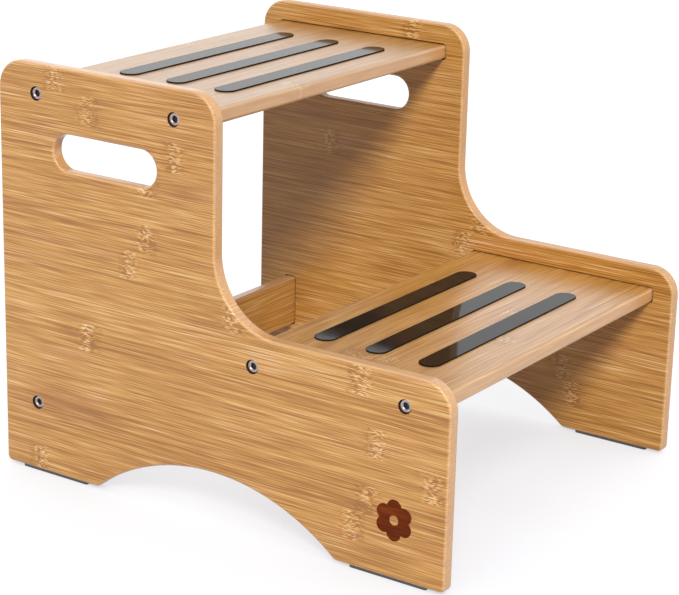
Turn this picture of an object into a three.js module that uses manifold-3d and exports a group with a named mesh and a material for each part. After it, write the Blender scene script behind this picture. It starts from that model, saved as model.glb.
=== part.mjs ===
// Two-step bamboo stool: two stepped side panels, two treads and a low rear rail.
// The treads and the rail are let into shallow pockets in the panels' inner faces and each is held
// at both ends by hex-socket furniture screws. Rubber strips lie on the treads, pads under the feet.
// Millimetres, +Z up. The origin is on the floor, under the middle. The lower step faces -Y.

import * as THREE from "three";
import { mergeVertices } from "three/addons/utils/BufferGeometryUtils.js";
import Module from "manifold-3d";

// ---- driving dimensions ----

const overallWidth = 318;
const overallDepth = 375;
const overallHeight = 300;

const panelThickness = 10;
const panelEdgeRadius = 2;
const outerCornerRadius = 20;
const innerCornerRadius = 50; // the hollow corner between the two steps
const footCornerRadius = 4;
const riserY = -1; // front edge of the panel's upper part
const lowerRimHeight = 143.25; // top of the panel beside the lower tread

const rimAboveTread = 15.5; // how far the panels stand above both treads
const treadDepth = 155;
const treadThickness = 11;
const treadCentreY = 93.25; // the upper tread is this far behind the middle, the lower one in front
const boardEdgeRadius = 2.5;

const railThickness = 10;
const railHeight = 40.5;
const railCentreY = 156.7;
const railCentreZ = 53.25;

const pocketDepth = 3;
const fitGap = 0.4; // clearance round a board's end in its pocket

const archHalfSpan = 102; // half the width of the arch between the feet, at their undersides
const archCrownHeight = 38.5;
const archToeRadius = 5; // where the arch meets the foot's underside

const slotLength = 90;
const slotHeight = 26;
const slotCentreZ = 241.3;

const screwSpacing = 120; // between the two screws of a tread
const screwLength = 50;
const screwRecess = 1.2; // how far a screw's head lies below the panel's outer face
const headDiameter = 9.2;
const headThickness = 2.8;
const headChamfer = 0.5;
const counterboreDiameter = 10;
const neckDiameter = 6.6;
const neckLength = 4;
const neckTaper = 1; // length of the slope between the neck and the shank
const shankDiameter = 5;
const tipLength = 4; // length of the pointed end
const socketAcrossFlats = 4;
const socketDepth = 2;
const holeClearance = 0.6; // a hole is this much wider than what goes through it

const stripLength = 198;
const stripWidth = 16;
const stripThickness = 1;
const stripPitch = 42;

const padLength = 60;
const padWidth = 7;
const padThickness = 2;
const padCentreY = 143;
const padCornerRadius = 1.5;

// How finely round shapes are faceted.
const panelArcSegments = 5; // for each arc of a panel's outline
const panelEdgeSegments = 2;
const stripArcSegments = 4;
const smallArcSegments = 2; // for the small corners of boards, pockets and pads
const holeSides = 20;
const screwSides = 16;
const hexSides = 6;

const weldDistance = 1e-4; // vertices closer than this are one

// ---- sizes that follow ----

const frontY = -overallDepth / 2;
const rearY = overallDepth / 2;
const panelBottom = padThickness;
const upperTreadTop = overallHeight - rimAboveTread;
const lowerTreadTop = lowerRimHeight - rimAboveTread;
const outerX = overallWidth / 2;
const innerX = outerX - panelThickness;
const boardEndX = innerX + pocketDepth - fitGap;
const boardLength = 2 * boardEndX;
const boreDepth = screwLength;

// The stool's three cross boards, by the centre and size of their section in the Y-Z plane.
const boards = {
  upper_tread: {
    y: treadCentreY,
    z: upperTreadTop - treadThickness / 2,
    depth: treadDepth,
    height: treadThickness,
    screwYs: { rear: screwSpacing / 2, front: -screwSpacing / 2 },
  },
  lower_tread: {
    y: -treadCentreY,
    z: lowerTreadTop - treadThickness / 2,
    depth: treadDepth,
    height: treadThickness,
    screwYs: { rear: screwSpacing / 2, front: -screwSpacing / 2 },
  },
  rear_rail: {
    y: railCentreY,
    z: railCentreZ,
    depth: railThickness,
    height: railHeight,
    screwYs: { middle: 0 },
  },
};

// Strips are stuck on by hand: each set has its own small offset from the middle of its tread.
const stripSets = {
  upper: { top: upperTreadTop, treadY: treadCentreY, offsetX: 6.5, offsetY: -4.5 },
  lower: { top: lowerTreadTop, treadY: -treadCentreY, offsetX: -1.5, offsetY: 5 },
};

// ---- materials ----

const bamboo = new THREE.MeshStandardMaterial({
  color: 0xd6a066,
  roughness: 0.5,
  metalness: 0,
});
const stripRubber = new THREE.MeshStandardMaterial({
  color: 0x23201f,
  roughness: 0.55,
  metalness: 0,
});
const padRubber = new THREE.MeshStandardMaterial({
  color: 0x8a8684,
  roughness: 0.8,
  metalness: 0,
});
const platedSteel = new THREE.MeshStandardMaterial({
  color: 0xb9b2ac,
  roughness: 0.3,
  metalness: 1,
});

// ---- joining and cutting ----

const wasm = await Module();
wasm.setup();

function toSolid(geometry) {
  const bare = geometry.clone();
  bare.deleteAttribute("normal");
  bare.deleteAttribute("uv");
  const merged = mergeVertices(bare, weldDistance);
  return new wasm.Manifold(
    new wasm.Mesh({
      numProp: 3,
      vertProperties: merged.getAttribute("position").array,
      triVerts: new Uint32Array(merged.index.array),
    }),
  );
}

function toGeometry(solid) {
  const mesh = solid.getMesh();
  const geometry = new THREE.BufferGeometry();
  geometry.setAttribute("position", new THREE.BufferAttribute(mesh.vertProperties, 3));
  geometry.setIndex(new THREE.BufferAttribute(mesh.triVerts, 1));
  geometry.computeVertexNormals();
  return geometry;
}

function cut(geometry, cutters) {
  let solid = toSolid(geometry);
  for (const cutter of cutters) {
    solid = solid.subtract(toSolid(cutter));
  }
  return toGeometry(solid);
}

// ---- outlines in the Y-Z plane, and what is extruded from them ----

function roundedRectangle(centreU, centreV, width, height, radius) {
  const left = centreU - width / 2 + radius;
  const right = centreU + width / 2 - radius;
  const low = centreV - height / 2 + radius;
  const high = centreV + height / 2 - radius;
  const shape = new THREE.Shape();
  shape.absarc(right, low, radius, -Math.PI / 2, 0, false);
  shape.absarc(right, high, radius, 0, Math.PI / 2, false);
  shape.absarc(left, high, radius, Math.PI / 2, Math.PI, false);
  shape.absarc(left, low, radius, Math.PI, 1.5 * Math.PI, false);
  shape.closePath();
  return shape;
}

// The arch is one arc through the crown and both ends of its span.
function archCircle() {
  const rise = archCrownHeight - panelBottom;
  const radius = (rise ** 2 + archHalfSpan ** 2) / (2 * rise);
  return { radius, centreZ: archCrownHeight - radius };
}

// A toe rounds the corner between the foot's underside and the arch: it touches both.
function archToe(arch) {
  const z = panelBottom + archToeRadius;
  const y = Math.sqrt((arch.radius + archToeRadius) ** 2 - (z - arch.centreZ) ** 2);
  return { y, z, slope: Math.atan2(z - arch.centreZ, y) };
}

function sidePanelOutline() {
  const arch = archCircle();
  const toe = archToe(arch);
  const down = -Math.PI / 2;
  const corner = outerCornerRadius;
  const foot = footCornerRadius;
  const hollow = innerCornerRadius;
  const shape = new THREE.Shape();
  shape.absarc(frontY + foot, panelBottom + foot, foot, Math.PI, 1.5 * Math.PI, false);
  shape.absarc(-toe.y, toe.z, archToeRadius, down, -toe.slope, false);
  shape.absarc(0, arch.centreZ, arch.radius, Math.PI - toe.slope, toe.slope, true);
  shape.absarc(toe.y, toe.z, archToeRadius, toe.slope - Math.PI, down, false);
  shape.absarc(rearY - foot, panelBottom + foot, foot, down, 0, false);
  shape.absarc(rearY - corner, overallHeight - corner, corner, 0, Math.PI / 2, false);
  shape.absarc(riserY + corner, overallHeight - corner, corner, Math.PI / 2, Math.PI, false);
  shape.absarc(riserY - hollow, lowerRimHeight + hollow, hollow, 0, down, true);
  shape.absarc(frontY + corner, lowerRimHeight - corner, corner, Math.PI / 2, Math.PI, false);
  shape.closePath();
  shape.holes.push(
    roundedRectangle(treadCentreY, slotCentreZ, slotLength, slotHeight, slotHeight / 2),
  );
  return shape;
}

// Turns a shape drawn in Y and Z into a solid that reaches from x = start to x = start + length.
function extrudeAlongX(shape, start, length, settings) {
  const geometry = new THREE.ExtrudeGeometry(shape, {
    depth: length,
    bevelEnabled: false,
    ...settings,
  });
  const turn = new THREE.Matrix4().makeBasis(
    new THREE.Vector3(0, 1, 0),
    new THREE.Vector3(0, 0, 1),
    new THREE.Vector3(1, 0, 0),
  );
  return geometry.applyMatrix4(turn).translate(start, 0, 0);
}

function cylinderAlongX(start, length, diameter, y, z, sides = holeSides) {
  const geometry = new THREE.CylinderGeometry(diameter / 2, diameter / 2, length, sides);
  return geometry.rotateZ(-Math.PI / 2).translate(start + length / 2, y, z);
}

// ---- screws ----

// Every screw's name and axis; the same list serves both panels and the boards' end bores.
function screwPlaces() {
  const places = [];
  for (const [board, at] of Object.entries(boards)) {
    for (const [where, offset] of Object.entries(at.screwYs)) {
      places.push({ name: `${board}_${where}`, board, y: at.y + offset, z: at.z });
    }
  }
  return places;
}

// The screw's axis is its own +X, with the head's face at x = 0.
function screwGeometry() {
  const head = headDiameter / 2;
  const neck = neckDiameter / 2;
  const shank = shankDiameter / 2;
  const neckEnd = headThickness + neckLength;
  const profile = [
    [0, 0],
    [head - headChamfer, 0],
    [head, headChamfer],
    [head, headThickness - headChamfer],
    [neck, headThickness],
    [neck, neckEnd],
    [shank, neckEnd + neckTaper],
    [shank, screwLength - tipLength],
    [0, screwLength],
  ].map(([radius, along]) => new THREE.Vector2(radius, along));
  const turned = new THREE.LatheGeometry(profile, screwSides).rotateZ(-Math.PI / 2);
  const socketDiameter = socketAcrossFlats / Math.cos(Math.PI / hexSides);
  const socket = cylinderAlongX(-socketDepth, 2 * socketDepth, socketDiameter, 0, 0, hexSides);
  return cut(turned, [socket]);
}

// ---- boards ----

// side is -1 for the left panel and +1 for the right one.
function sidePanelGeometry(side) {
  const body = extrudeAlongX(
    sidePanelOutline(),
    -panelThickness / 2 + panelEdgeRadius,
    panelThickness - 2 * panelEdgeRadius,
    {
      curveSegments: panelArcSegments,
      bevelEnabled: true,
      bevelThickness: panelEdgeRadius,
      bevelSize: panelEdgeRadius,
      bevelOffset: -panelEdgeRadius,
      bevelSegments: panelEdgeSegments,
    },
  );
  const innerFace = (-side * panelThickness) / 2;
  const outerFace = -innerFace;
  const pockets = Object.values(boards).map((board) => {
    const section = roundedRectangle(
      board.y,
      board.z,
      board.depth + 2 * fitGap,
      board.height + 2 * fitGap,
      boardEdgeRadius + fitGap,
    );
    return extrudeAlongX(section, innerFace - pocketDepth, 2 * pocketDepth, {
      curveSegments: smallArcSegments,
    });
  });
  const counterboreDepth = screwRecess + headThickness;
  const holes = screwPlaces().flatMap(({ y, z }) => [
    cylinderAlongX(
      outerFace - counterboreDepth,
      2 * counterboreDepth,
      counterboreDiameter,
      y,
      z,
    ),
    cylinderAlongX(-panelThickness, 2 * panelThickness, neckDiameter + holeClearance, y, z),
  ]);
  return cut(body, [...pockets, ...holes]);
}

function boardGeometry(name) {
  const { y, z, depth, height } = boards[name];
  const body = extrudeAlongX(
    roundedRectangle(0, 0, depth, height, boardEdgeRadius),
    -boardLength / 2,
    boardLength,
    { curveSegments: smallArcSegments },
  );
  const bores = screwPlaces()
    .filter((place) => place.board === name)
    .flatMap((place) =>
      [-1, 1].map((side) =>
        cylinderAlongX(
          (side * boardLength) / 2 - boreDepth,
          2 * boreDepth,
          neckDiameter + holeClearance,
          place.y - y,
          place.z - z,
        ),
      ),
    );
  return cut(body, bores);
}

// ---- strips and pads ----

function stripGeometry() {
  const outline = roundedRectangle(0, 0, stripLength, stripWidth, stripWidth / 2);
  return new THREE.ExtrudeGeometry(outline, {
    depth: stripThickness,
    bevelEnabled: false,
    curveSegments: stripArcSegments,
  });
}

function padGeometry() {
  const outline = roundedRectangle(0, 0, padWidth, padLength, padCornerRadius);
  return new THREE.ExtrudeGeometry(outline, {
    depth: padThickness,
    bevelEnabled: false,
    curveSegments: smallArcSegments,
  });
}

// ---- assembly ----

const stool = new THREE.Group();

function place(parent, name, geometry, material, x, y, z) {
  const mesh = new THREE.Mesh(geometry, material);
  mesh.name = name;
  mesh.position.set(x, y, z);
  parent.add(mesh);
  return mesh;
}

for (const [sideName, side] of [["left", -1], ["right", 1]]) {
  const panelX = side * (outerX - panelThickness / 2);
  place(stool, `${sideName}_side_panel`, sidePanelGeometry(side), bamboo, panelX, 0, 0);
  for (const { name, y, z } of screwPlaces()) {
    const headX = side * (outerX - screwRecess);
    const screw = place(
      stool,
      `${sideName}_${name}_screw`,
      screwGeometry(),
      platedSteel,
      headX,
      y,
      z,
    );
    screw.rotation.z = side > 0 ? Math.PI : 0;
  }
  for (const [footName, end] of [["front", -1], ["rear", 1]]) {
    const name = `${sideName}_${footName}_foot_pad`;
    place(stool, name, padGeometry(), padRubber, panelX, end * padCentreY, 0);
  }
}

for (const [name, { y, z }] of Object.entries(boards)) {
  place(stool, name, boardGeometry(name), bamboo, 0, y, z);
}

for (const [treadName, set] of Object.entries(stripSets)) {
  for (const [rowName, row] of [["rear", 1], ["middle", 0], ["front", -1]]) {
    const name = `${treadName}_${rowName}_grip_strip`;
    const y = set.treadY + set.offsetY + row * stripPitch;
    place(stool, name, stripGeometry(), stripRubber, set.offsetX, y, set.top);
  }
}

export default stool;
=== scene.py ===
"""A two-step bamboo stool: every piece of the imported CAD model, made with its final shape and surface.

Lengths are in millimetres and become metres where a mesh, a light or the camera is made. Places come
from the frame's boxes. +Z is up, -Y is the front, and the left side panel is at -X.
"""

import math

import bpy
from mathutils import Matrix, Vector
from mathutils.geometry import tessellate_polygon


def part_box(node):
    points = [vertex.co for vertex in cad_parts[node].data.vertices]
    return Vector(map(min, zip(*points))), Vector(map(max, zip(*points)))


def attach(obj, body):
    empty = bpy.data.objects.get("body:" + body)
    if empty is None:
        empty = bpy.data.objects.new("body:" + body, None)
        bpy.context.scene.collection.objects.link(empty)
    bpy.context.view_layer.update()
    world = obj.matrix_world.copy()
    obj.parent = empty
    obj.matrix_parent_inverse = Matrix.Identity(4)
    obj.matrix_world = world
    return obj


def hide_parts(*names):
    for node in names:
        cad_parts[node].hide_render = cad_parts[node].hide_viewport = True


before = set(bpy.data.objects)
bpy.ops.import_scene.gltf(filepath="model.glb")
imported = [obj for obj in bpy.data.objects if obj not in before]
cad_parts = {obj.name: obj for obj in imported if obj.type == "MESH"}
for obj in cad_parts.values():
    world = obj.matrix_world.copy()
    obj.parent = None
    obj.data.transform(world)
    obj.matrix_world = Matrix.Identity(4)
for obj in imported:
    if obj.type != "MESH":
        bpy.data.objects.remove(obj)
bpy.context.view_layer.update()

MM = 0.001
QUARTER = math.pi / 2
HALF = math.pi
X, Y, Z = Vector((1, 0, 0)), Vector((0, 1, 0)), Vector((0, 0, 1))

# ---- driving dimensions, in millimetres ----

PANEL_EDGE = 2.0            # radius that breaks every edge of a side panel
OUTER_CORNER = 20.0
HOLLOW_CORNER = 50.0        # the hollow corner between the two steps
FOOT_CORNER = 4.0
RISER_Y = -1.0              # front edge of a panel's upper part
LOWER_RIM_Z = 143.25        # top of a panel beside the lower tread
ARCH_HALF_SPAN = 102.0
ARCH_CROWN_Z = 38.5
ARCH_TOE = 5.0
SLOT_LENGTH = 90.0
SLOT_HEIGHT = 26.0
SLOT_Z = 241.3

POCKET_DEPTH = 3.0
FIT_GAP = 0.8               # clearance round a board's end in its pocket
BOARD_EDGE = 2.5
BOARD_END_EDGE = 0.3

COUNTERBORE = 10.0
SCREW_HOLE = 7.2
SCREW_RECESS = 1.2
HEAD_THICKNESS = 2.8
HEAD_EDGE = 0.8
NECK = 6.6
NECK_LENGTH = 4.0
NECK_TAPER = 1.0            # length of the slope between the neck and the shank
SHANK = 4.6
THREAD = 6.6
THREAD_PITCH = 3.0
THREAD_FADE = 1 / 6         # share of the thread's length over which it rises at each end
TIP_LENGTH = 4.0
TIP_RADIUS = 0.3
SOCKET_FLATS = 4.0
SOCKET_DEPTH = 2.0
SOCKET_CHAMFER = 0.4
HEAD_EDGE_STEPS = 5
ROWS_PER_TURN = 12          # of the thread's mesh

STRIP_TOP_EDGE = 0.2
PAD_CORNER = 1.5
PAD_EDGE = 0.5

MARK_RADIUS = 14.5          # the burnt mark on the left panel's outer face
MARK_Y = -148.0
MARK_Z = 43.0
MARK_DEPTH = 0.35
MARK_CENTRE = 3.4           # radius of the plain wood left in its middle
PETALS = 6
PETAL_RADIUS = 5.6
PETAL_GAP = 0.01            # keeps neighbouring petals' ends apart, in radians

LAMELLA = 20.18             # height of one bamboo strip in a glued board
FIRST_SEAM = 0.8            # height of the panels' lowest seam

SAME_POINT = 1e-4           # points closer than this are one

# The paints of a side panel, in the order of its material slots; 0 is its broad faces and edges.
# The near-black painted shade in pockets, bores and counterbores.
RECESS_SHADE = 1
BURNT = 2


def box_mm(node):
    """A CAD node's lowest and highest corners, in millimetres."""
    low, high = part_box(node)
    return low / MM, high / MM


# ---- outlines ----


class Arc:
    """Part of an outline. bulge is 1 where the material is inside the circle, -1 where it is outside."""

    def __init__(self, u, v, radius, start, end, bulge=1):
        self.u, self.v, self.radius = u, v, radius
        self.start, self.end, self.bulge = start, end, bulge

    def samples(self, inset, spacing):
        """Points and outward normals along the arc, moved into the material by inset."""
        sweep = self.end - self.start
        count = max(6, round(abs(sweep) * self.radius / spacing))
        radius = self.radius - self.bulge * inset
        for i in range(count + 1):
            angle = self.start + sweep * i / count
            c, s = math.cos(angle), math.sin(angle)
            yield (self.u + radius * c, self.v + radius * s), (self.bulge * c, self.bulge * s)


def sample(arcs, inset=0.0, spacing=2.5):
    """A closed outline's points and normals.

    Straight stretches join one arc's end to the next one's start. Where one arc runs straight on
    into the next, the point that they share is kept once.
    """
    points, normals = [], []
    for arc in arcs:
        for point, normal in arc.samples(inset, spacing):
            if points and math.dist(point, points[-1]) < SAME_POINT:
                continue
            points.append(point)
            normals.append(normal)
    return points, normals


def rectangle(u, v, width, height, radius, bulge=1):
    """Four corner arcs. bulge is -1 for a hole."""
    left, right = u - width / 2 + radius, u + width / 2 - radius
    low, high = v - height / 2 + radius, v + height / 2 - radius
    centres = [(right, low), (right, high), (left, high), (left, low)]
    return [
        Arc(cu, cv, radius, QUARTER * (i - 1), QUARTER * i, bulge)
        for i, (cu, cv) in enumerate(centres)
    ]


def stadium(u, v, length, width, bulge=1):
    """Two half circles, joined along u."""
    reach = (length - width) / 2
    return [
        Arc(u + reach, v, width / 2, -QUARTER, QUARTER, bulge),
        Arc(u - reach, v, width / 2, QUARTER, 3 * QUARTER, bulge),
    ]


def circle(u, v, diameter, bulge=-1):
    """Two half circles that stop just short of each other, so that no point is there twice."""
    gap = 0.02      # radians
    return [
        Arc(u, v, diameter / 2, gap, HALF - gap, bulge),
        Arc(u, v, diameter / 2, HALF + gap, 2 * HALF - gap, bulge),
    ]


# ---- surfaces ----


class Surface:
    """Faces gathered ring by ring.

    Each corner of a face has its own normal, so flat faces stay flat beside round edges.
    """

    def __init__(self, across, along, depth):
        self.axes = across, along, depth      # the directions of u, v and the level
        self.points, self.faces, self.normals, self.paints = [], [], [], []

    def vector(self, u, v, level):
        across, along, depth = self.axes
        return across * u + along * v + depth * level

    def ring(self, outline, level):
        start = len(self.points)
        self.points.extend(self.vector(u, v, level) for u, v in outline)
        return list(range(start, len(self.points)))

    def face(self, corners, normals, paint=0):
        """Adds a face, turned so that it faces the way its normals point."""
        a, b, c = (self.points[i] for i in corners[:3])
        if len(corners) > 3:
            facing = (c - a).cross(self.points[corners[3]] - b)
        else:
            facing = (b - a).cross(c - a)
        if facing.dot(sum(normals, Vector())) < 0:
            corners, normals = corners[::-1], normals[::-1]
        self.faces.append(tuple(corners))
        self.normals.extend(normals)
        self.paints.append(paint)

    def bridge(self, ring_a, ring_b, normals_a, normals_b, paint=0):
        """Quads between two closed rings with as many points."""
        for i in range(len(ring_a)):
            j = i - 1
            corners = [ring_a[j], ring_a[i], ring_b[i], ring_b[j]]
            self.face(corners, [normals_a[j], normals_a[i], normals_b[i], normals_b[j]], paint)

    def fill(self, rings, normal, paint=0):
        """A flat face inside the first ring and outside the others."""
        flat = [i for ring in rings for i in ring]
        for triangle in tessellate_polygon([[self.points[i] for i in ring] for ring in rings]):
            corners = [flat[i] for i in triangle]
            self.face(corners, [normal] * 3, paint)

    def wall(self, arcs, start, end, start_edge=0.0, end_edge=0.0, paint=0, spacing=2.5, steps=5):
        """The wall over an outline from one level to another, its edges rounded.

        Returns the first and last rings.
        """
        heading = 1 if end > start else -1
        stations = []
        if start_edge:
            for k in range(steps):
                angle = QUARTER * k / steps
                stations.append((start_edge * (1 - math.sin(angle)),
                                 start + heading * start_edge * (1 - math.cos(angle)),
                                 -heading * math.cos(angle)))
        stations.append((0.0, start + heading * start_edge, 0.0))
        stations.append((0.0, end - heading * end_edge, 0.0))
        if end_edge:
            for k in range(steps):
                angle = QUARTER * (k + 1) / steps
                stations.append((end_edge * (1 - math.cos(angle)),
                                 end - heading * end_edge * (1 - math.sin(angle)),
                                 heading * math.sin(angle)))
        rings = []
        for inset, level, tilt in stations:
            points, outward = sample(arcs, inset, spacing)
            lean = math.sqrt(1 - tilt * tilt)
            normals = [self.vector(lean * u, lean * v, tilt) for u, v in outward]
            rings.append((self.ring(points, level), normals))
        for (ring_a, normals_a), (ring_b, normals_b) in zip(rings, rings[1:]):
            self.bridge(ring_a, ring_b, normals_a, normals_b, paint)
        return rings[0][0], rings[-1][0]

    def build(self, name, paints):
        mesh = bpy.data.meshes.new(name)
        mesh.from_pydata([p * MM for p in self.points], [], self.faces)
        mesh.polygons.foreach_set("material_index", self.paints)
        mesh.polygons.foreach_set("use_smooth", [True] * len(self.faces))
        mesh.normals_split_custom_set(self.normals)
        for paint in paints:
            mesh.materials.append(paint)
        mesh.update()
        piece = bpy.data.objects.new(name, mesh)
        bpy.context.scene.collection.objects.link(piece)
        return piece


def finish_piece(surface, node, slot, *paints):
    """The object that stands for a CAD node."""
    piece = surface.build(node + "_piece", paints)
    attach(piece, "root")
    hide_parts(node)
    return piece


# ---- shapes of the pieces ----

BOARDS = ("upper_tread", "lower_tread", "rear_rail")
SCREWS = {
    "upper_tread": ("rear", "front"),
    "lower_tread": ("rear", "front"),
    "rear_rail": ("middle",),
}


def section(board, gap=0.0, bulge=1):
    """A board's section in Y and Z, or with a gap the pocket cut for it."""
    low, high = box_mm(board)
    return rectangle(
        (low.y + high.y) / 2,
        (low.z + high.z) / 2,
        high.y - low.y + 2 * gap,
        high.z - low.z + 2 * gap,
        BOARD_EDGE + gap,
        bulge,
    )


def screw_axes(side, board):
    """The Y and Z of each screw that holds a board at one side."""
    for place in SCREWS[board]:
        low, high = box_mm(f"{side}_{board}_{place}_screw")
        yield (low.y + high.y) / 2, (low.z + high.z) / 2


def panel_outline(low, high):
    """A side panel's outline in Y and Z, counterclockwise from the front foot."""
    rise = ARCH_CROWN_Z - low.z
    arch = (rise**2 + ARCH_HALF_SPAN**2) / (2 * rise)
    arch_z = ARCH_CROWN_Z - arch
    toe_z = low.z + ARCH_TOE
    toe_y = math.sqrt((arch + ARCH_TOE) ** 2 - (toe_z - arch_z) ** 2)
    slope = math.atan2(toe_z - arch_z, toe_y)
    corner, foot, hollow = OUTER_CORNER, FOOT_CORNER, HOLLOW_CORNER
    return [
        Arc(low.y + foot, low.z + foot, foot, HALF, 3 * QUARTER),
        Arc(-toe_y, toe_z, ARCH_TOE, -QUARTER, -slope),
        Arc(0, arch_z, arch, HALF - slope, slope, -1),
        Arc(toe_y, toe_z, ARCH_TOE, slope - HALF, -QUARTER),
        Arc(high.y - foot, low.z + foot, foot, -QUARTER, 0),
        Arc(high.y - corner, high.z - corner, corner, 0, QUARTER),
        Arc(RISER_Y + corner, high.z - corner, corner, QUARTER, HALF),
        Arc(RISER_Y - hollow, LOWER_RIM_Z + hollow, hollow, 0, -QUARTER, -1),
        Arc(low.y + corner, LOWER_RIM_Z - corner, corner, QUARTER, HALF),
    ]


def flower_outline():
    """The burnt mark's outline: round petals that meet in notches."""
    middle = MARK_RADIUS - PETAL_RADIUS
    half_step = HALF / PETALS
    across = middle * math.sin(half_step)
    notch = middle * math.cos(half_step) + math.sqrt(PETAL_RADIUS**2 - across**2)
    notch_y, notch_z = notch * math.cos(half_step), notch * math.sin(half_step)
    sweep = math.atan2(notch_z, notch_y - middle) - PETAL_GAP
    arcs = []
    for i in range(PETALS):
        angle = QUARTER + 2 * half_step * i
        y, z = MARK_Y + middle * math.cos(angle), MARK_Z + middle * math.sin(angle)
        arcs.append(Arc(y, z, PETAL_RADIUS, angle - sweep, angle + sweep, -1))
    return arcs


def engrave_mark(surface, face, inward):
    """A shallow burnt flower with its centre left standing. Returns the flower's rim on the face."""
    floor = face + inward * MARK_DEPTH
    outward = surface.vector(0, 0, -inward)
    rim, flower_floor = surface.wall(flower_outline(), face, floor, paint=BURNT, spacing=0.8)
    centre = circle(MARK_Y, MARK_Z, 2 * MARK_CENTRE, bulge=1)
    centre_top, centre_floor = surface.wall(centre, face, floor, paint=BURNT, spacing=0.6)
    surface.fill([flower_floor, centre_floor], outward, paint=BURNT)
    surface.fill([centre_top], outward)
    return rim


def side_panel(side, paints):
    """A stepped panel with its hand slot, pockets for the boards' ends and bores for the screws."""
    node = f"{side}_side_panel"
    low, high = box_mm(node)
    outer, inner = (low.x, high.x) if side == "left" else (high.x, low.x)
    inward = 1 if inner > outer else -1
    surface = Surface(Y, Z, X)
    slot_y = (box_mm("upper_tread")[0].y + box_mm("upper_tread")[1].y) / 2
    outline = panel_outline(low, high)
    slot = stadium(slot_y, SLOT_Z, SLOT_LENGTH, SLOT_HEIGHT, bulge=-1)
    outer_rims, inner_rims = [], []
    for arcs in (outline, slot):
        outer_ring, inner_ring = surface.wall(arcs, outer, inner, PANEL_EDGE, PANEL_EDGE, steps=7)
        outer_rims.append(outer_ring)
        inner_rims.append(inner_ring)
    for board in BOARDS:
        floor = inner - inward * POCKET_DEPTH
        pocket = section(board, FIT_GAP, bulge=-1)
        # Pocket walls, floors, bores and counterbores get the near-black painted shade.
        rim, pocket_floor = surface.wall(pocket, inner, floor, paint=RECESS_SHADE, spacing=0.8)
        inner_rims.append(rim)
        holes = []
        for y, z in screw_axes(side, board):
            seat = outer + inward * (SCREW_RECESS + HEAD_THICKNESS)
            bore = circle(y, z, COUNTERBORE)
            rim, bore_floor = surface.wall(bore, outer, seat, paint=RECESS_SHADE, spacing=0.5)
            outer_rims.append(rim)
            hole = circle(y, z, SCREW_HOLE)
            seat_hole, floor_hole = surface.wall(hole, seat, floor, paint=RECESS_SHADE, spacing=0.5)
            surface.fill([bore_floor, seat_hole], X * -inward, paint=RECESS_SHADE)
            holes.append(floor_hole)
        surface.fill([pocket_floor, *holes], X * inward, paint=RECESS_SHADE)
    if side == "left":
        outer_rims.append(engrave_mark(surface, outer, inward))
    surface.fill(outer_rims, X * -inward)
    surface.fill(inner_rims, X * inward)
    return finish_piece(surface, node, "bamboo", *paints)


def cross_board(node, paint):
    """A tread or the rail, with a bore in each end for every screw."""
    low, high = box_mm(node)
    surface = Surface(Y, Z, X)
    left_rim, right_rim = surface.wall(
        section(node), low.x, high.x, BOARD_END_EDGE, BOARD_END_EDGE, spacing=0.8, steps=3
    )
    for side, end, inward, rim in (("left", low.x, 1, left_rim), ("right", high.x, -1, right_rim)):
        rims = [rim]
        for y, z in screw_axes(side, node):
            screw_low, screw_high = box_mm(f"{side}_{node}_{SCREWS[node][0]}_screw")
            bottom = end + inward * (screw_high.x - screw_low.x)
            mouth, bottom_ring = surface.wall(circle(y, z, SCREW_HOLE), end, bottom, spacing=0.5)
            surface.fill([bottom_ring], X * -inward)
            rims.append(mouth)
        surface.fill(rims, X * -inward)
    return finish_piece(surface, node, "bamboo", paint)


def grip_strip(node, *paints):
    """A thin strip with round ends, its upper edge softened."""
    low, high = box_mm(node)
    surface = Surface(X, Y, Z)
    outline = stadium(
        (low.x + high.x) / 2, (low.y + high.y) / 2, high.x - low.x, high.y - low.y
    )
    bottom, top = surface.wall(
        outline, low.z, high.z, end_edge=STRIP_TOP_EDGE, paint=1, spacing=0.8, steps=4
    )
    surface.fill([bottom], -Z)
    surface.fill([top], Z)
    return finish_piece(surface, node, "grip_strip", *paints)


def foot_pad(node, paint):
    """A flat pad with softened lower edges."""
    low, high = box_mm(node)
    surface = Surface(X, Y, Z)
    outline = rectangle(
        (low.x + high.x) / 2, (low.y + high.y) / 2, high.x - low.x, high.y - low.y, PAD_CORNER
    )
    bottom, top = surface.wall(outline, low.z, high.z, PAD_EDGE, spacing=0.4, steps=4)
    surface.fill([bottom], -Z)
    surface.fill([top], Z)
    return finish_piece(surface, node, "foot_pad", paint)


class Lathe(Surface):
    """A surface turned about an axis along X, at y and z."""

    SIDES = 48

    def __init__(self, y, z, head, heading):
        super().__init__(Y, Z, X)
        self.y, self.z, self.head, self.heading = y, z, head, heading

    def turn(self, radius, along):
        """A ring; radius may be a function of the angle."""
        points = []
        for i in range(self.SIDES):
            angle = 2 * HALF * i / self.SIDES
            r = radius(angle) if callable(radius) else radius
            points.append((self.y + r * math.cos(angle), self.z + r * math.sin(angle)))
        return self.ring(points, self.head + self.heading * along)

    def leaning(self, outward, forward):
        """The normals round a ring whose slope is the same all round."""
        length = math.hypot(outward, forward)
        normals = []
        for i in range(self.SIDES):
            angle = 2 * HALF * i / self.SIDES
            u, v = outward * math.cos(angle) / length, outward * math.sin(angle) / length
            normals.append(self.vector(u, v, self.heading * forward / length))
        return normals

    def cone(self, ring_a, ring_b, radius_a, radius_b, along_a, along_b):
        """The band between two round rings."""
        slope = self.leaning(along_b - along_a, radius_a - radius_b)
        self.bridge(ring_a, ring_b, slope, slope)


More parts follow.
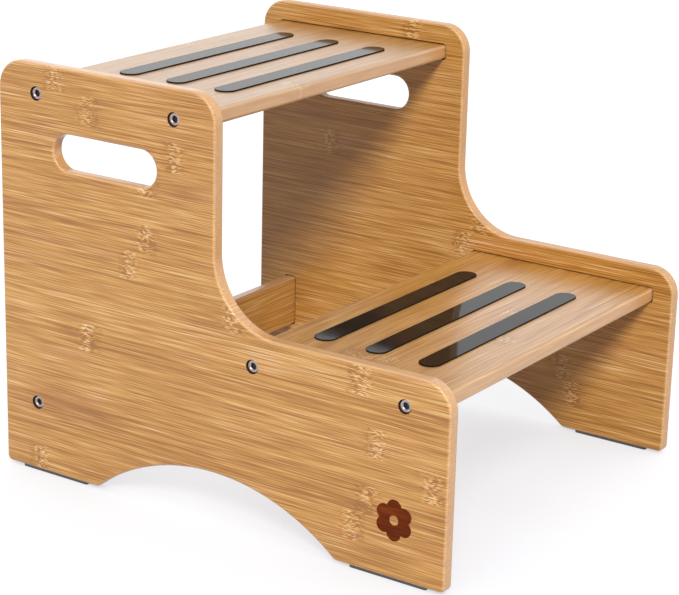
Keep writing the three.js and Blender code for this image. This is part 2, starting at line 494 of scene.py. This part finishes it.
def rounded_head(lathe, head):
    """The rounded edge of a screw's head. Returns its rings at the face and at the side."""
    rounded = []
    for k in range(HEAD_EDGE_STEPS + 1):
        angle = QUARTER * k / HEAD_EDGE_STEPS
        radius = head - HEAD_EDGE * (1 - math.sin(angle))
        along = HEAD_EDGE * (1 - math.cos(angle))
        normals = lathe.leaning(math.sin(angle), -math.cos(angle))
        rounded.append((lathe.turn(radius, along), normals))
    for (ring_a, normals_a), (ring_b, normals_b) in zip(rounded, rounded[1:]):
        lathe.bridge(ring_a, ring_b, normals_a, normals_b)
    return rounded[0][0], rounded[-1][0]


def hex_socket(lathe, face_rim):
    """A screw head's face with its chamfered hex socket."""
    backward = X * -lathe.heading
    sixth = HALF / 3

    def hexagon(angle):
        return SOCKET_FLATS / 2 / math.cos((angle + sixth / 2) % sixth - sixth / 2)

    chamfer_rim = SOCKET_FLATS / 2 / math.cos(sixth / 2) + SOCKET_CHAMFER
    chamfer_top = lathe.turn(chamfer_rim, 0)
    mouth = lathe.turn(hexagon, SOCKET_CHAMFER)
    floor = lathe.turn(hexagon, SOCKET_DEPTH)
    slope = lathe.leaning(-1, -1)
    lathe.bridge(chamfer_top, mouth, slope, slope)
    for i in range(lathe.SIDES):
        middle = 2 * HALF * (i - 0.5) / lathe.SIDES
        flat = round(middle / sixth) * sixth
        inward = lathe.vector(-math.cos(flat), -math.sin(flat), 0)
        # Paint 1 gives the socket's walls and floor their near-black painted shade.
        lathe.face([mouth[i - 1], mouth[i], floor[i], floor[i - 1]], [inward] * 4, paint=1)
    lathe.fill([face_rim, chamfer_top], backward)
    lathe.fill([floor], backward, paint=1)


def thread(lathe, ring, start, end):
    """A threaded shank on from a ring, its thread fading in and out. Returns its last ring."""
    rows = round((end - start) / THREAD_PITCH * ROWS_PER_TURN)
    around = lathe.leaning(1, 0)
    for row in range(1, rows + 1):
        share = row / rows
        along = start + share * (end - start)
        fade = min(1, share / THREAD_FADE, (1 - share) / THREAD_FADE)

        def ridge(angle, along=along, fade=fade):
            turn = (along / THREAD_PITCH - angle / (2 * HALF)) % 1
            crest = max(0.0, 1 - abs(turn - 0.5) * 4)
            return SHANK / 2 + fade * crest * (THREAD - SHANK) / 2

        after = lathe.turn(ridge, along)
        lathe.bridge(ring, after, around, around)
        ring = after
    return ring


def screw(node, *paints):
    """A furniture screw: round-edged head with a hex socket, neck, threaded shank and pointed end."""
    low, high = box_mm(node)
    head_face, heading = (low.x, 1) if node.startswith("left") else (high.x, -1)
    length = high.x - low.x
    head = (high.y - low.y) / 2
    lathe = Lathe((low.y + high.y) / 2, (low.z + high.z) / 2, head_face, heading)

    face_rim, side_rim = rounded_head(lathe, head)
    hex_socket(lathe, face_rim)

    neck_end = HEAD_THICKNESS + NECK_LENGTH
    shank_start = neck_end + NECK_TAPER
    shank_end = length - TIP_LENGTH
    stations = [(head, HEAD_EDGE), (head, HEAD_THICKNESS), (NECK / 2, HEAD_THICKNESS),
                (NECK / 2, neck_end), (SHANK / 2, shank_start)]
    rings = [side_rim] + [lathe.turn(radius, along) for radius, along in stations[1:]]
    for i in range(len(stations) - 1):
        (radius_a, along_a), (radius_b, along_b) = stations[i], stations[i + 1]
        lathe.cone(rings[i], rings[i + 1], radius_a, radius_b, along_a, along_b)
    last = thread(lathe, rings[-1], shank_start, shank_end)
    tip = lathe.turn(TIP_RADIUS, length)
    lathe.cone(last, tip, SHANK / 2, TIP_RADIUS, shank_end, length)
    lathe.fill([tip], X * heading)
    return finish_piece(lathe, node, "screw_steel", *paints)


# ---- materials ----


class Nodes:
    """A material's nodes, added by short calls that return their first output."""

    def __init__(self, name):
        self.material = bpy.data.materials.new(name)
        self.material.use_nodes = True
        self.tree = self.material.node_tree
        self.shader = self.tree.nodes["Principled BSDF"]

    def put(self, value, socket):
        """Links a socket to an output, or sets it to a value."""
        if isinstance(value, bpy.types.NodeSocket):
            self.tree.links.new(value, socket)
        else:
            socket.default_value = value

    def math(self, operation, *values):
        node = self.tree.nodes.new("ShaderNodeMath")
        node.operation = operation
        for value, socket in zip(values, node.inputs):
            self.put(value, socket)
        return node.outputs[0]

    def add(self, *values):
        total = values[0]
        for value in values[1:]:
            total = self.math("ADD", total, value)
        return total

    def minus(self, a, b):
        return self.math("SUBTRACT", a, b)

    def times(self, a, b):
        return self.math("MULTIPLY", a, b)

    def swing(self, noise, amount):
        """A noise's swing to both sides of its middle value."""
        return self.times(self.minus(noise, 0.5), amount)

    def bell(self, distance, width):
        """1 at no distance, falling to nothing at about twice the width."""
        scaled = self.math("DIVIDE", distance, width)
        return self.math("EXPONENT", self.times(self.times(scaled, scaled), -1.0))

    def combine(self, x, y, z):
        node = self.tree.nodes.new("ShaderNodeCombineXYZ")
        for value, socket in zip((x, y, z), node.inputs):
            self.put(value, socket)
        return node.outputs[0]

    def noise(self, vector, detail=2.0, roughness=0.5, scale=1.0):
        node = self.tree.nodes.new("ShaderNodeTexNoise")
        self.put(vector, node.inputs["Vector"])
        node.inputs["Scale"].default_value = scale
        node.inputs["Detail"].default_value = detail
        node.inputs["Roughness"].default_value = roughness
        return node.outputs["Fac"]

    def ramp(self, value, stops, interpolation="LINEAR"):
        """Returns the ramp's colour. stops holds (position, colour)."""
        node = self.tree.nodes.new("ShaderNodeValToRGB")
        node.color_ramp.interpolation = interpolation
        elements = node.color_ramp.elements
        for _ in stops[2:]:
            elements.new(0.5)
        for element, (position, colour) in zip(elements, stops):
            element.position = position
            element.color = (*colour, 1)
        self.put(value, node.inputs["Fac"])
        return node.outputs["Color"]

    def mix(self, share, a, b, blend="MIX"):
        node = self.tree.nodes.new("ShaderNodeMix")
        node.data_type = "RGBA"
        node.blend_type = blend
        self.put(share, node.inputs["Factor"])
        for value, key in ((a, "A"), (b, "B")):
            socket = next(s for s in node.inputs if s.name == key and s.type == "RGBA")
            self.put(value, socket)
        return next(s for s in node.outputs if s.type == "RGBA")

    def split(self, vector):
        node = self.tree.nodes.new("ShaderNodeSeparateXYZ")
        self.put(vector, node.inputs[0])
        return node.outputs[0], node.outputs[1], node.outputs[2]

    def place_mm(self):
        """The surface point in the stool's own frame, in millimetres."""
        source = self.tree.nodes.new("ShaderNodeTexCoord")
        scale = self.tree.nodes.new("ShaderNodeVectorMath")
        scale.operation = "SCALE"
        scale.inputs["Scale"].default_value = 1 / MM
        self.put(source.outputs["Object"], scale.inputs[0])
        return self.split(scale.outputs[0])

    def facing(self):
        """The surface normal's share along X, Y and Z, without its sign."""
        source = self.tree.nodes.new("ShaderNodeTexCoord")
        return [self.math("ABSOLUTE", part) for part in self.split(source.outputs["Normal"])]

    def bump(self, height, strength, distance):
        """distance is in millimetres."""
        node = self.tree.nodes.new("ShaderNodeBump")
        node.inputs["Strength"].default_value = strength
        node.inputs["Distance"].default_value = distance * MM
        self.put(height, node.inputs["Height"])
        self.tree.links.new(node.outputs["Normal"], self.shader.inputs["Normal"])

    def set(self, **inputs):
        """Sets or links the shader's own sockets."""
        for key, value in inputs.items():
            self.put(value, self.shader.inputs[key.replace("_", " ")])


AWAY = 250.0                # a knuckle place that no board reaches
SEAM_WIDTH = 0.35
KNUCKLE_WIDTH = 7.5
EDGE_PALENESS = 0.70        # how far a board's edges go towards their paler colour
EDGE_COLOUR = (0.640, 0.355, 0.160, 1)
ROUNDING_HIGHLIGHT = (0.800, 0.550, 0.350, 1)      # painted highlight where a broad face turns into an edge
BLUSH = (1.0, 0.97, 1.20, 1)
FIBRE_COLOURS = [           # from the darkest to the palest
    (0.05, (0.330, 0.122, 0.014)),
    (0.30, (0.460, 0.200, 0.031)),
    (0.52, (0.600, 0.288, 0.060)),
    (0.75, (0.710, 0.388, 0.110)),
    (1.0, (0.870, 0.600, 0.310)),
]


class Bamboo(Nodes):
    """Glued bamboo: strips side by side, each with its fibres, its tone and a knuckle.

    grain and across are 0, 1 or 2: the axis that the fibres follow, and the one that the strips
    lie along.
    """

    def __init__(self, name, grain, across, first_seam, strips, seed):
        super().__init__(name)
        place = self.place_mm()
        self.through = 3 - grain - across
        self.u, self.v = place[grain], place[across]
        steps = self.math("DIVIDE", self.minus(self.v, first_seam), LAMELLA)
        self.row = self.math("FLOOR", steps)
        self.in_row = self.math("FRACT", steps)
        knuckle, self.tone = self.strip_table(strips)
        self.from_knuckle = self.minus(self.u, knuckle)
        self.own = self.add(self.times(self.row, 13.7), seed)
        self.depth = self.add(self.own, self.times(place[self.through], 1 / 3))

        # Fibres wander a little, and more beside a knuckle.
        drift = self.patches(100, 12, 1.0)
        swell = self.bell(self.from_knuckle, 11.0)
        sway = self.swing(drift, self.add(1.6, self.times(swell, 3.0)))
        self.v_drawn = self.add(self.v, sway)

    def strip_table(self, strips):
        """Each strip's own values, looked up by its row: its knuckle's place, and its tone about 0."""
        count = len(strips)
        position = self.math("DIVIDE", self.add(self.row, 0.5), float(count))
        stops = []
        for i, (knuckle, tone) in enumerate(strips):
            place = AWAY if knuckle is None else knuckle
            stops.append((i / count, (0.5 + place / AWAY / 2, 0.5 + tone / 2, 0)))
        node = self.tree.nodes.new("ShaderNodeSeparateColor")
        self.put(self.ramp(position, stops, "CONSTANT"), node.inputs[0])
        return self.swing(node.outputs[0], 2 * AWAY), self.swing(node.outputs[1], 2.0)

    def patches(self, length, width, detail, across=None):
        """Soft patches, different in each strip; length is along the grain."""
        v = self.v if across is None else across
        vector = self.combine(self.times(self.u, 1 / length), self.times(v, 1 / width), self.own)
        return self.noise(vector, detail)

    def fibres(self, length, width, detail):
        along, across = self.times(self.u, 1 / length), self.times(self.v_drawn, 1 / width)
        return self.noise(self.combine(along, across, self.depth), detail, 0.55)

    def lines(self, length, width, sharpness):
        """Thin dark lines where a stretched noise passes its middle value."""
        offset = self.math("ABSOLUTE", self.minus(self.fibres(length, width, 0.0), 0.5))
        return self.math("MAXIMUM", self.minus(1.0, self.times(offset, sharpness)), 0.0)

    def seam(self):
        """1 on the glue line between two strips."""
        nearest = self.math("MINIMUM", self.in_row, self.minus(1.0, self.in_row))
        return self.bell(self.times(nearest, LAMELLA), SEAM_WIDTH)

    def knuckle_marks(self, middle):
        """A ragged column of short wavering strokes, a dark blotch beside it, a smear round both."""
        waver = self.patches(8, 5, 1.0)
        wavering = self.add(self.v, self.times(waver, 6.0))
        flecks = self.patches(3.6, 0.75, 0.0, wavering)
        strokes = self.times(self.minus(flecks, 0.47), 6.0)
        strokes = self.math("MAXIMUM", self.math("MINIMUM", strokes, 1.0), -1.0)
        ragged = self.add(self.from_knuckle, self.swing(middle, 12.0), self.swing(waver, 7.0))
        column = self.times(self.bell(ragged, KNUCKLE_WIDTH), strokes)
        side = self.minus(self.times(self.math("FRACT", self.times(self.row, 0.5)), 4.0), 1.0)
        beside = self.add(ragged, self.times(side, 6.0))
        blotch = self.times(self.bell(beside, 4.0), self.times(middle, 1.6))
        smear = self.times(self.bell(self.from_knuckle, 30.0), self.minus(middle, 0.42))
        return column, blotch, smear

    def face_colour(self, lightness, tint):
        """The fibres' colour with a faint drift in its hue."""
        colour = self.ramp(lightness, FIBRE_COLOURS)
        blush = self.minus(self.times(self.patches(80, 14, 1.0), 3.0), 1.4)
        colour = self.mix(self.math("MAXIMUM", blush, 0.0), colour, BLUSH, "MULTIPLY")
        # The tint darkens the broad faces; on the treads it is painted shade on their tops.
        return self.mix(1.0, colour, (tint, tint, tint, 1), "MULTIPLY")

    def with_edges(self, face_colour):
        """The face's colour, and the edges' own paler one where a board's edges turn away from it, with
        a painted highlight on the band where the face rounds into the edge.
        """
        turned = self.minus(1.0, self.facing()[self.through])
        # A painted highlight on the rounding between a broad face and its edge.
        rounding_highlight = self.bell(self.minus(turned, 0.3), 0.25)
        edge_colour = self.mix(rounding_highlight, EDGE_COLOUR, ROUNDING_HIGHLIGHT)
        on_edge = self.times(self.math("POWER", turned, 0.5), EDGE_PALENESS)
        return self.mix(on_edge, face_colour, edge_colour)


def bamboo(name, grain, across, first_seam, strips, seed, tint=1.0, lacquer=1.0, dullness=0.22):
    """Lacquered bamboo.

    tint darkens a board's broad faces, which on the treads is painted shade on their tops; lacquer and
    dullness are its clear coat's weight and roughness.
    """
    wood = Bamboo(name, grain, across, first_seam, strips, seed)
    fine = wood.fibres(40.0, 0.46, 1.0)
    middle = wood.fibres(120.0, 1.8, 1.5)
    broad = wood.fibres(200.0, 6.5, 1.0)
    cloud = wood.patches(60, 22, 2.0)
    thin_lines = wood.times(wood.lines(260.0, 3.4, 15.0), wood.add(0.1, broad))
    short_lines = wood.times(wood.lines(130.0, 1.5, 7.5), wood.add(0.1, middle))
    column, blotch, smear = wood.knuckle_marks(middle)
    seam = wood.seam()
    lightness = wood.add(
        0.56,
        wood.swing(fine, 1.9),
        wood.swing(middle, 0.28),
        wood.swing(broad, 0.30),
        wood.swing(cloud, 0.25),
        wood.times(wood.tone, 0.12),
        wood.times(thin_lines, -0.40),
        wood.times(short_lines, -0.40),
        wood.times(column, 0.50),
        wood.times(blotch, -0.22),
        wood.times(smear, -0.30),
        wood.times(seam, -0.10),
    )
    colour = wood.with_edges(wood.face_colour(lightness, tint))
    roughness = wood.add(0.46, wood.swing(middle, 0.16), wood.swing(cloud, 0.10))
    height = wood.add(wood.times(fine, 0.5), wood.times(middle, 0.5), wood.times(seam, -0.4), column)
    wood.set(Base_Color=colour, Roughness=roughness, IOR=1.5)
    wood.set(Coat_Weight=lacquer, Coat_Roughness=dullness, Coat_IOR=1.5)
    wood.bump(height, 0.35, 0.08)
    return wood.material


def recess_shade_wood():
    """Wood inside pockets, bores and counterbores, painted near-black as shade for the dark gaps round
    the boards' ends and the screws' heads.
    """
    nodes = Nodes("recess_shade_wood")
    x, y, z = nodes.place_mm()
    fibre = nodes.noise(nodes.combine(x, nodes.times(y, 1 / 8), nodes.times(z, 1 / 0.7)), 2.0, 0.6)
    colour = nodes.ramp(fibre, [
        (0.3, (0.016, 0.006, 0.002)),
        (0.7, (0.045, 0.018, 0.007)),
    ])
    nodes.set(Base_Color=colour, Roughness=nodes.add(0.7, nodes.times(fibre, 0.2)))
    nodes.bump(fibre, 0.5, 0.1)
    return nodes.material


def burnt_wood():
    """The floor and walls of the burnt mark: charred fibres that still show the grain."""
    nodes = Nodes("burnt_wood")
    x, y, z = nodes.place_mm()
    fine = nodes.noise(nodes.combine(nodes.times(y, 1 / 14), nodes.times(z, 1 / 0.6), x), 2.0, 0.6)
    broad = nodes.noise(nodes.combine(nodes.times(y, 1 / 20), nodes.times(z, 1 / 7), x), 1.0)
    char = nodes.add(nodes.times(fine, 0.7), nodes.times(broad, 0.3))
    colour = nodes.ramp(char, [
        (0.25, (0.062, 0.009, 0.002)),
        (0.50, (0.142, 0.022, 0.003)),
        (0.75, (0.260, 0.060, 0.009)),
    ])
    nodes.set(Base_Color=colour, Roughness=nodes.add(0.60, nodes.times(fine, 0.2)))
    nodes.set(Specular_IOR_Level=0.15)
    nodes.bump(fine, 0.4, 0.1)
    return nodes.material


def strip_rubber():
    """Smooth black strip: faint orange peel and dust-fine mottling."""
    nodes = Nodes("strip_rubber")
    x, y, z = nodes.place_mm()
    place = nodes.combine(x, y, z)
    peel = nodes.noise(place, 2.0, 0.5, 0.9)
    cloud = nodes.noise(place, 2.0, 0.5, 0.06)
    colour = nodes.ramp(nodes.add(nodes.times(peel, 0.4), nodes.times(cloud, 0.6)), [
        (0.3, (0.0045, 0.0040, 0.0040)),
        (0.7, (0.0085, 0.0078, 0.0076)),
    ])
    nodes.set(Base_Color=colour, Roughness=nodes.add(0.03, nodes.times(cloud, 0.08)), IOR=1.19)
    nodes.bump(peel, 0.04, 0.05)
    return nodes.material


def cut_strip_side():
    """The strips' cut sides: dull black with the knife's fine scoring."""
    nodes = Nodes("cut_strip_side")
    x, y, z = nodes.place_mm()
    place = nodes.combine(nodes.times(x, 2.0), nodes.times(y, 2.0), nodes.times(z, 0.5))
    scoring = nodes.noise(place, 2.0)
    colour = nodes.ramp(scoring, [
        (0.3, (0.0030, 0.0028, 0.0028)),
        (0.7, (0.0075, 0.0070, 0.0070)),
    ])
    nodes.set(Base_Color=colour, Roughness=nodes.add(0.75, nodes.times(scoring, 0.2)))
    nodes.set(Specular_IOR_Level=0.1)
    nodes.bump(scoring, 0.3, 0.05)
    return nodes.material


def pad_rubber():
    """Matt grey foot pad with a coarse speckle, darker towards its bottom."""
    nodes = Nodes("pad_rubber")
    x, y, z = nodes.place_mm()
    speckle = nodes.noise(nodes.combine(x, y, z), 3.0, 0.6, 1.6)
    # Darker towards the bottom.
    darker_low = nodes.minus(speckle, nodes.bell(z, 0.8))
    colour = nodes.ramp(nodes.add(nodes.times(darker_low, 0.5), 0.3), [
        (0.2, (0.045, 0.038, 0.035)),
        (0.6, (0.120, 0.105, 0.098)),
    ])
    nodes.set(Base_Color=colour, Roughness=nodes.add(0.65, nodes.times(speckle, 0.2)))
    nodes.bump(speckle, 0.3, 0.15)
    return nodes.material


def plated_steel():
    """Nickel-plated steel: fine turning marks, slightly uneven plating."""
    nodes = Nodes("plated_steel")
    x, y, z = nodes.place_mm()
    cloud = nodes.noise(nodes.combine(x, y, z), 2.0, 0.5, 0.7)
    place = nodes.combine(nodes.times(x, 9.0), nodes.times(y, 2.0), nodes.times(z, 2.0))
    turning = nodes.noise(place, 2.0)
    colour = nodes.ramp(cloud, [
        (0.3, (0.30, 0.25, 0.24)),
        (0.7, (0.48, 0.42, 0.40)),
    ])
    nodes.set(Base_Color=colour, Metallic=1.0)
    nodes.set(Roughness=nodes.add(0.20, nodes.times(turning, 0.18)))
    nodes.bump(turning, 0.15, 0.05)
    return nodes.material


def socket_shade_steel():
    """The hex socket's inside: steel darkened to near black as painted shade for the socket's depth,
    with a faint mottle.
    """
    nodes = Nodes("socket_shade_steel")
    x, y, z = nodes.place_mm()
    # A faint mottle within the painted shade.
    shade_mottle = nodes.noise(nodes.combine(x, y, z), 2.0, 0.6, 1.8)
    colour = nodes.ramp(shade_mottle, [
        (0.3, (0.012, 0.010, 0.010)),
        (0.7, (0.060, 0.052, 0.050)),
    ])
    nodes.set(Base_Color=colour, Metallic=0.4, Roughness=nodes.add(0.25, nodes.times(shade_mottle, 0.3)))
    nodes.bump(shade_mottle, 0.2, 0.05)
    return nodes.material


# ---- the boards' strips, from low to high: where each one's knuckle is, and its tone ----

LEFT_PANEL_STRIPS = [
    (155, -0.3), (-115, 0.0), (-127, -0.8), (-176, 0.0), (-133, 0.5), (109, -0.3), (-119, 1.0),
    (-17, 0.1), (72, 0.1), (57, -0.1), (None, 0.2), (57, -0.1), (33, -0.3), (107, 0.1), (137, -0.3),
]
RIGHT_PANEL_STRIPS = [
    (None, 0.0), (-110, -0.3), (-98, 0.2), (None, 0.4), (-60, -0.2), (None, 0.1), (-7, -0.1),
    (-22, 0.3), (None, -0.2), (120, 0.2), (None, -0.4), (None, 0.1), (100, 0.3), (None, -0.2), (46, 0.0),
]
UPPER_TREAD_STRIPS = [
    (-40, 0.2), (None, -0.2), (129, 0.3), (None, 0.0), (70, -0.3), (-60, 0.2), (None, -0.1), (22, 0.3),
]
LOWER_TREAD_STRIPS = [
    (None, 0.1), (-20, -0.2), (35, 0.3), (-105, 0.0), (-108, 0.2), (None, -0.3), (60, 0.1), (None, 0.3),
]
RAIL_STRIPS = [(-120, -0.7), (None, 0.2), (30, 0.5)]


# ---- assembly ----


# Each board, the axis that its strips lie along, its first seam past its low side, its strips, seed
# and tint. On the treads the tint is painted shade: it darkens their tops, the upper one more.
BOARD_LOOKS = (
    ("upper_tread", 1, -2.0, UPPER_TREAD_STRIPS, 401.3, 0.60),
    ("lower_tread", 1, -2.0, LOWER_TREAD_STRIPS, 523.9, 0.82),
    ("rear_rail", 2, 0.0, RAIL_STRIPS, 677.1, 0.9),
)


def build_panels():
    left = bamboo("bamboo_left_panel", 1, 2, FIRST_SEAM, LEFT_PANEL_STRIPS, 3.1, lacquer=0.75)
    right = bamboo("bamboo_right_panel", 1, 2, FIRST_SEAM, RIGHT_PANEL_STRIPS, 211.7, tint=0.86,
                   lacquer=0.25)
    # Both panels' second paint is the near-black painted shade in their recesses.
    recess_shade, burnt = recess_shade_wood(), burnt_wood()
    side_panel("left", [left, recess_shade, burnt])
    side_panel("right", [right, recess_shade])


def build_boards():
    for board, across, offset, strips, seed, tint in BOARD_LOOKS:
        first_seam = box_mm(board)[0][across] + offset
        wood = bamboo("bamboo_" + board, 0, across, first_seam, strips, seed, tint, lacquer=0.9,
                      dullness=0.32)
        cross_board(board, wood)


def build_fittings():
    """The grip strips, the foot pads and the screws."""
    rubber, cut_rubber, pad = strip_rubber(), cut_strip_side(), pad_rubber()
    steel, socket = plated_steel(), socket_shade_steel()
    for node in sorted(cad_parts):
        if node.endswith("_grip_strip"):
            grip_strip(node, rubber, cut_rubber)
        elif node.endswith("_foot_pad"):
            foot_pad(node, pad)
        elif node.endswith("_screw"):
            screw(node, steel, socket)


# ---- floor, light and camera ----


FLOOR_REACH = 6.0                           # metres
FLOOR_COLOUR = (0.15, 0.15, 0.155, 1)
FLOOR_BOUNCE = (0.25, 0.25, 0.25, 1)        # the grey that lights matt faces from below
FLOOR_GLOW_COLOUR = (0.985, 0.98, 1, 1)
FLOOR_GLOW = 0.94
FLOOR_GLOW_LOST = 0.36                      # how much of it goes where the stool is close by: painted shade under the stool
CLOSE_BY = 0.2                              # metres

# What mirror-like faces see, by height above the horizon, and what matt ones get.
LOW_HEIGHT, HIGH_HEIGHT = 0.17, 0.34
LOW_STRENGTH, HIGH_STRENGTH = 1.50, 1.45
FILL_STRENGTH = 0.13

KEY_DIRECTION = (-1.0, -0.68, 1.0)
LAMPS = (           # name, direction towards it, energy, width in degrees, and if it makes only glints
    ("key", KEY_DIRECTION, 3.35, 15, False),
    ("front_fill", (0.1, -1.0, 0.25), 0.75, 60, False),
    ("glint", KEY_DIRECTION, 0.8, 15, True),
)

CAMERA_PLACE = (-1.2525, -0.8428, 0.6084)   # metres
CAMERA_TURN = (-55.867, 17.804, 1.431)      # azimuth, elevation and roll, in degrees
CAMERA_LENS = 116.04
SENSOR_WIDTH = 36


def build_floor():
    """A plain pale floor that shades softly under the stool."""
    corners = [(-FLOOR_REACH, -FLOOR_REACH, 0), (FLOOR_REACH, -FLOOR_REACH, 0),
               (FLOOR_REACH, FLOOR_REACH, 0), (-FLOOR_REACH, FLOOR_REACH, 0)]
    mesh = bpy.data.meshes.new("floor")
    mesh.from_pydata(corners, [], [(0, 1, 2, 3)])
    floor = bpy.data.objects.new("floor", mesh)
    bpy.context.scene.collection.objects.link(floor)
    nodes = Nodes("pale_floor")
    diffuse_ray = nodes.tree.nodes.new("ShaderNodeLightPath").outputs["Is Diffuse Ray"]
    nearby = nodes.tree.nodes.new("ShaderNodeAmbientOcclusion")
    nearby.samples = 8
    nearby.inputs["Distance"].default_value = CLOSE_BY
    covered = nodes.minus(1.0, nearby.outputs["AO"])
    bright = nodes.minus(FLOOR_GLOW, nodes.times(covered, FLOOR_GLOW_LOST))
    nodes.set(Base_Color=nodes.mix(diffuse_ray, FLOOR_COLOUR, FLOOR_BOUNCE), Roughness=0.8)
    nodes.set(Emission_Color=FLOOR_GLOW_COLOUR)
    nodes.set(Emission_Strength=nodes.times(nodes.minus(1.0, diffuse_ray), bright))
    mesh.materials.append(nodes.material)


def build_surroundings():
    """White surroundings that mirror-like faces see, and a little fill for matt ones."""
    world = bpy.data.worlds.new("studio")
    bpy.context.scene.world = world
    world.use_nodes = True
    tree = world.node_tree
    background = tree.nodes["Background"]
    background.inputs["Color"].default_value = (1, 1, 1, 1)
    direction = tree.nodes.new("ShaderNodeTexCoord")
    parts = tree.nodes.new("ShaderNodeSeparateXYZ")
    tree.links.new(direction.outputs["Generated"], parts.inputs[0])
    height = tree.nodes.new("ShaderNodeMapRange")
    tree.links.new(parts.outputs[2], height.inputs["Value"])
    height.inputs["From Min"].default_value = LOW_HEIGHT
    height.inputs["From Max"].default_value = HIGH_HEIGHT
    height.inputs["To Min"].default_value = LOW_STRENGTH
    height.inputs["To Max"].default_value = HIGH_STRENGTH
    path = tree.nodes.new("ShaderNodeLightPath")
    strength = tree.nodes.new("ShaderNodeMix")
    tree.links.new(path.outputs["Is Diffuse Ray"], strength.inputs[0])
    tree.links.new(height.outputs[0], strength.inputs[2])
    strength.inputs[3].default_value = FILL_STRENGTH
    tree.links.new(strength.outputs[0], background.inputs["Strength"])


def build_lamps():
    """A soft key light from the front, the left and above, and a wide one from the front.

    They make no reflections, so that the lacquer doesn't glare. A weak lamp in the key's place makes
    the glints on metal.
    """
    for name, towards, energy, width, only_glints in LAMPS:
        light = bpy.data.lights.new(name, "SUN")
        light.energy = energy
        light.angle = math.radians(width)
        lamp = bpy.data.objects.new(name, light)
        lamp.rotation_euler = Vector(towards).to_track_quat("Z", "Y").to_euler()
        bpy.context.scene.collection.objects.link(lamp)
        lamp.visible_glossy = only_glints
        lamp.visible_diffuse = not only_glints


def build_camera():
    """The camera at the photograph's viewing angle."""
    azimuth, elevation, roll = (math.radians(angle) for angle in CAMERA_TURN)
    back = Vector((math.sin(azimuth) * math.cos(elevation),
                   -math.cos(azimuth) * math.cos(elevation),
                   math.sin(elevation)))
    level = back.to_track_quat("Z", "Y").to_matrix().to_4x4()
    camera = bpy.data.cameras.new("camera")
    camera.sensor_width = SENSOR_WIDTH
    camera.lens = CAMERA_LENS
    holder = bpy.data.objects.new("camera", camera)
    bpy.context.scene.collection.objects.link(holder)
    turn = level @ Matrix.Rotation(roll, 4, "Z")
    holder.matrix_world = Matrix.Translation(Vector(CAMERA_PLACE)) @ turn
    bpy.context.scene.camera = holder


build_camera()
build_floor()
build_surroundings()
build_lamps()
build_panels()
build_boards()
build_fittings()
bpy.context.scene.view_settings.view_transform = "Standard"
